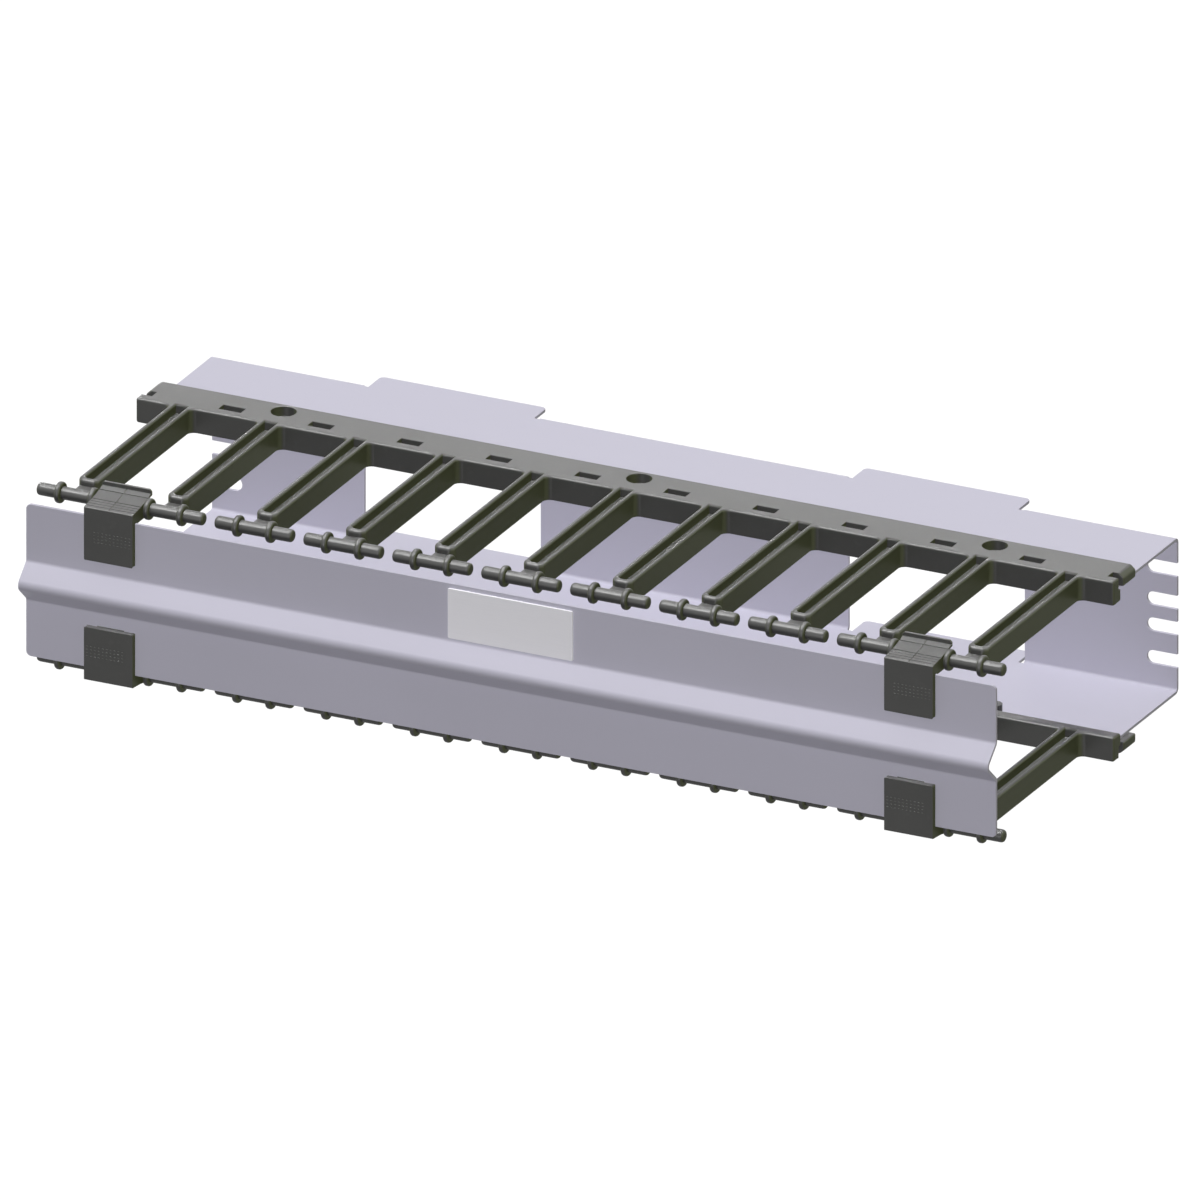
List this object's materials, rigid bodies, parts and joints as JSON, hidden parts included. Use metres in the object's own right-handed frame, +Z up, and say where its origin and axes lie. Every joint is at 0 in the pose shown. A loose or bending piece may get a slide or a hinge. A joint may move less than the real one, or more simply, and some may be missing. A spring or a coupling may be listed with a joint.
{
  "type": "horizontal cable manager",
  "caption": "Rack-mounted horizontal cable manager: a folded sheet channel with upper and lower rows of moulded cable fingers and a hinged, clip-on front cover.",
  "frame": {"origin": "on the rear face of the back plate, the plane that meets the rack's rails, at mid length and mid height", "axes": "+X along the length to the right seen from the front, +Y to the rear out of the back plate, +Z up"},
  "size_m": [0.489, 0.2089, 0.095],
  "materials": {
    "coated_sheet": "light grey powder coat, satin",
    "dark_moulding": "dark grey moulded plastic, fine matt texture",
    "plate": "satin pale grey",
    "rivet_metal": "blackened"
  },
  "bodies": {
    "frame": {"chassis": "coated_sheet", "finger_rail_top": "dark_moulding", "finger_rail_bottom": "dark_moulding", "rail_rivet_top_left": "rivet_metal", "rail_rivet_top_middle": "rivet_metal", "rail_rivet_top_right": "rivet_metal", "rail_rivet_bottom_left": "rivet_metal", "rail_rivet_bottom_middle": "rivet_metal", "rail_rivet_bottom_right": "rivet_metal"},
    "cover": {"cover": "coated_sheet", "name_plate": "plate", "cover_clip_top_left": "dark_moulding", "cover_clip_top_right": "dark_moulding", "cover_clip_bottom_left": "dark_moulding", "cover_clip_bottom_right": "dark_moulding"}
  },
  "joints": [
    {"name": "cover_hinge", "type": "hinge", "parent": "frame", "child": "cover", "pos_m": [0, -0.179, 0.0405], "axis": [-1, 0, 0], "range_deg": [0, 165]}
  ]
}
